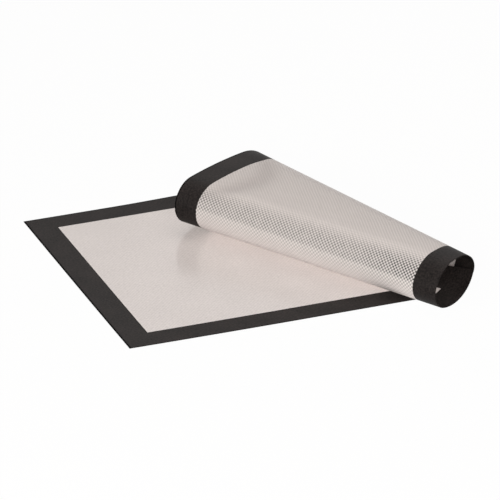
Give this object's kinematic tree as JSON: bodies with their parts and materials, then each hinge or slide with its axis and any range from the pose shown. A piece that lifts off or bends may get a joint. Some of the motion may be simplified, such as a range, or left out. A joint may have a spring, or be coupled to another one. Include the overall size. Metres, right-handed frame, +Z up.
{
  "type": "baking mat",
  "caption": "Silicone-coated glass-cloth baking mat with a black border, lying flat at one end and loosely rolled up obliquely from the other.",
  "frame": {"origin": "on the table, under the middle of the mat's overall box as it lies, partly rolled", "axes": "+X along the mat's long side, from its flat end towards the rolled end; +Y from the front long edge to the back long edge; +Z up"},
  "size_m": [0.3398, 0.3548, 0.0516],
  "materials": {
    "glass_cloth": "matte",
    "silicone_smooth": "semi-gloss",
    "silicone_woven": "satin",
    "silicone_black": "satin"
  },
  "bodies": {
    "root": {"glass_cloth": "glass_cloth", "cooking_face": "silicone_smooth", "underside": "silicone_woven", "border_top": "silicone_black", "border_underside": "silicone_black"}
  },
  "joints": []
}
